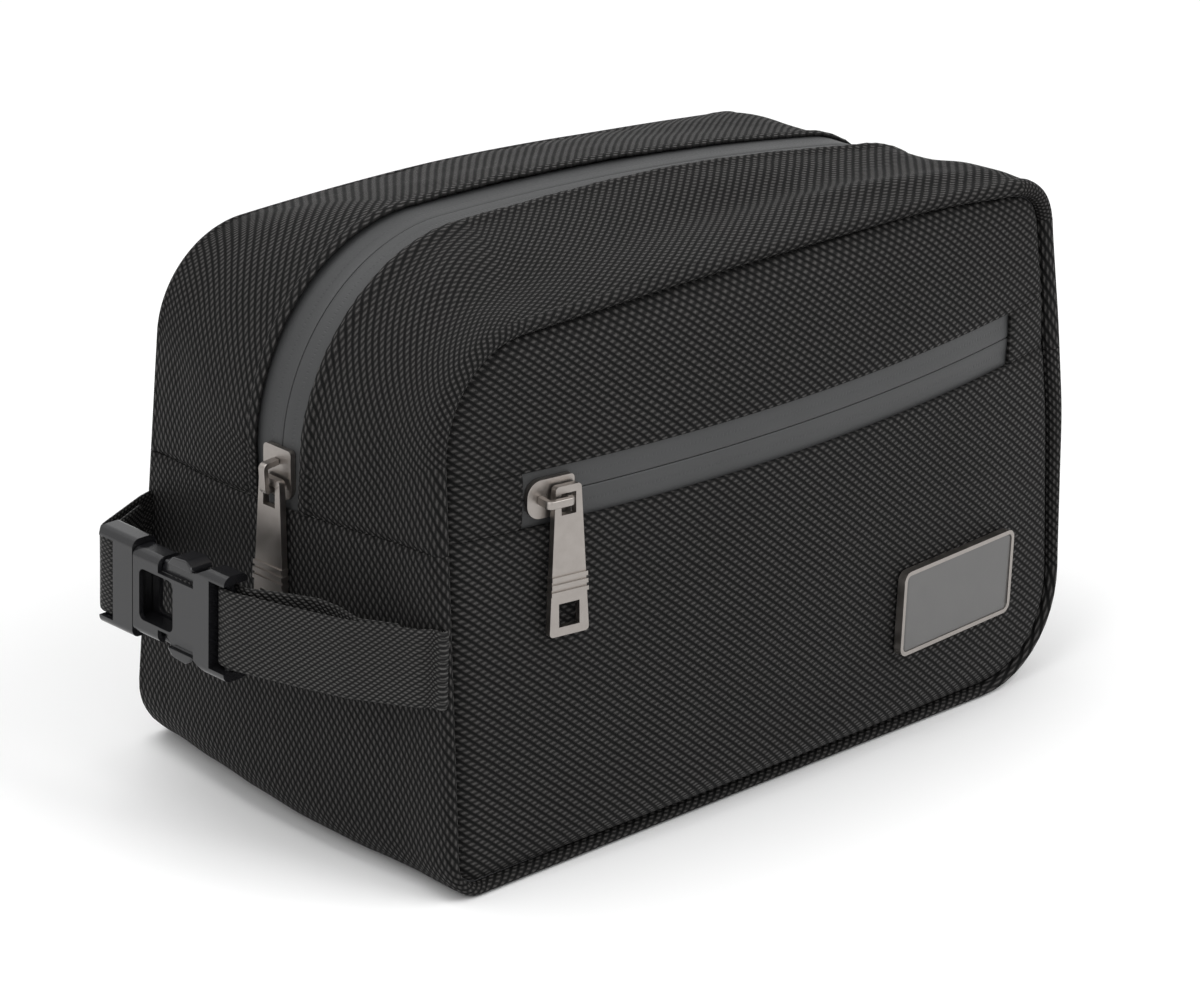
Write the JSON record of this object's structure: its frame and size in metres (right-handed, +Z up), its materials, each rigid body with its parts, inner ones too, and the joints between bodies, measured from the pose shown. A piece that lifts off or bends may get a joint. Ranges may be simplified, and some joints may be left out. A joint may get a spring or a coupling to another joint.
{
  "type": "travel toiletry bag",
  "caption": "Boxy zipped toiletry bag of black woven fabric, with a domed front zip pocket, a blank badge and a buckled webbing side handle.",
  "frame": {"origin": "centre of the flat base", "axes": "+Z up, +X along the length away from the buckle handle, front pocket towards -Y"},
  "size_m": [0.2897, 0.1591, 0.1747],
  "materials": {
    "shell_fabric": "ballistic basket weave polyester, near black",
    "lining_fabric": "smooth polyester lining",
    "foam_sheet": "closed cell foam sheet",
    "binding_tape": "woven grosgrain binding",
    "zip_tape": "water repellent coated tape with fine grain",
    "zip_coil": "nylon coil",
    "gunmetal": "zinc casting, satin gunmetal plating",
    "badge_enamel": "matt grey enamel",
    "webbing": "ribbed polyester webbing",
    "buckle_plastic": "satin moulded acetal"
  },
  "bodies": {
    "bag": {"front_panel_lower": "shell_fabric", "front_panel_upper": "shell_fabric", "back_panel": "shell_fabric", "gusset_front_strip": "shell_fabric", "gusset_rear_strip": "shell_fabric", "base_gusset": "shell_fabric", "pocket_zip_start_tab": "shell_fabric", "pocket_zip_end_tab": "shell_fabric", "pocket_backing": "lining_fabric", "front_lining": "lining_fabric", "back_lining": "lining_fabric", "gusset_lining": "lining_fabric", "front_foam": "foam_sheet", "back_foam": "foam_sheet", "gusset_foam": "foam_sheet", "front_binding": "binding_tape", "back_binding": "binding_tape", "main_zip_tape_front": "zip_tape", "main_zip_tape_rear": "zip_tape", "pocket_zip_tape_upper": "zip_tape", "pocket_zip_tape_lower": "zip_tape", "main_zip_coil": "zip_coil", "pocket_zip_coil": "zip_coil", "main_zip_stops": "gunmetal", "pocket_zip_stops": "gunmetal", "badge_frame": "gunmetal", "badge_inlay": "badge_enamel", "badge_backing_plate": "gunmetal", "front_strap": "webbing", "rear_strap": "webbing", "buckle_female": "buckle_plastic", "buckle_male": "buckle_plastic"},
    "main_slider": {"main_slider_body": "gunmetal", "main_slider_bridge": "gunmetal"},
    "main_pull": {"main_zip_pull": "gunmetal"},
    "pocket_slider": {"pocket_slider_body": "gunmetal", "pocket_slider_bridge": "gunmetal"},
    "pocket_pull": {"pocket_zip_pull": "gunmetal"},
    "upper_arm": {"buckle_arm_upper": "buckle_plastic"},
    "lower_arm": {"buckle_arm_lower": "buckle_plastic"}
  },
  "joints": [
    {"name": "main_slider_travel", "type": "hinge", "parent": "bag", "child": "main_slider", "pos_m": [-0.072, 0, 0.115], "axis": [0, 1, 0], "range_deg": [0, 80]},
    {"name": "main_pull_swing", "type": "hinge", "parent": "main_slider", "child": "main_pull", "pos_m": [-0.13405, 0, 0.10818], "axis": [0, 1, 0], "range_deg": [0, 15]},
    {"name": "pocket_slider_travel", "type": "hinge", "parent": "bag", "child": "pocket_slider", "pos_m": [0, 0.48516, 0.1145], "axis": [0, 0, 1], "range_deg": [0, 18.6]},
    {"name": "pocket_pull_swing", "type": "hinge", "parent": "pocket_slider", "child": "pocket_pull", "pos_m": [-0.08988, -0.07398, 0.1145], "axis": [-0.1652, -0.9849, 0.0525], "range_deg": [-15, 90]},
    {"name": "buckle_press", "type": "hinge", "parent": "bag", "child": "upper_arm", "pos_m": [-0.154, 0.032, 0.0806], "axis": [1, 0, 0], "range_deg": [0, 8], "stiffness_Nm_per_rad": 0.5},
    {"name": "buckle_press_lower", "type": "hinge", "parent": "bag", "child": "lower_arm", "pos_m": [-0.154, 0.032, 0.0614], "axis": [-1, 0, 0], "range_deg": [0, 8], "stiffness_Nm_per_rad": 0.5}
  ],
  "couplings": [
    {"joint": "buckle_press_lower", "follows": "buckle_press", "ratio": 1}
  ]
}
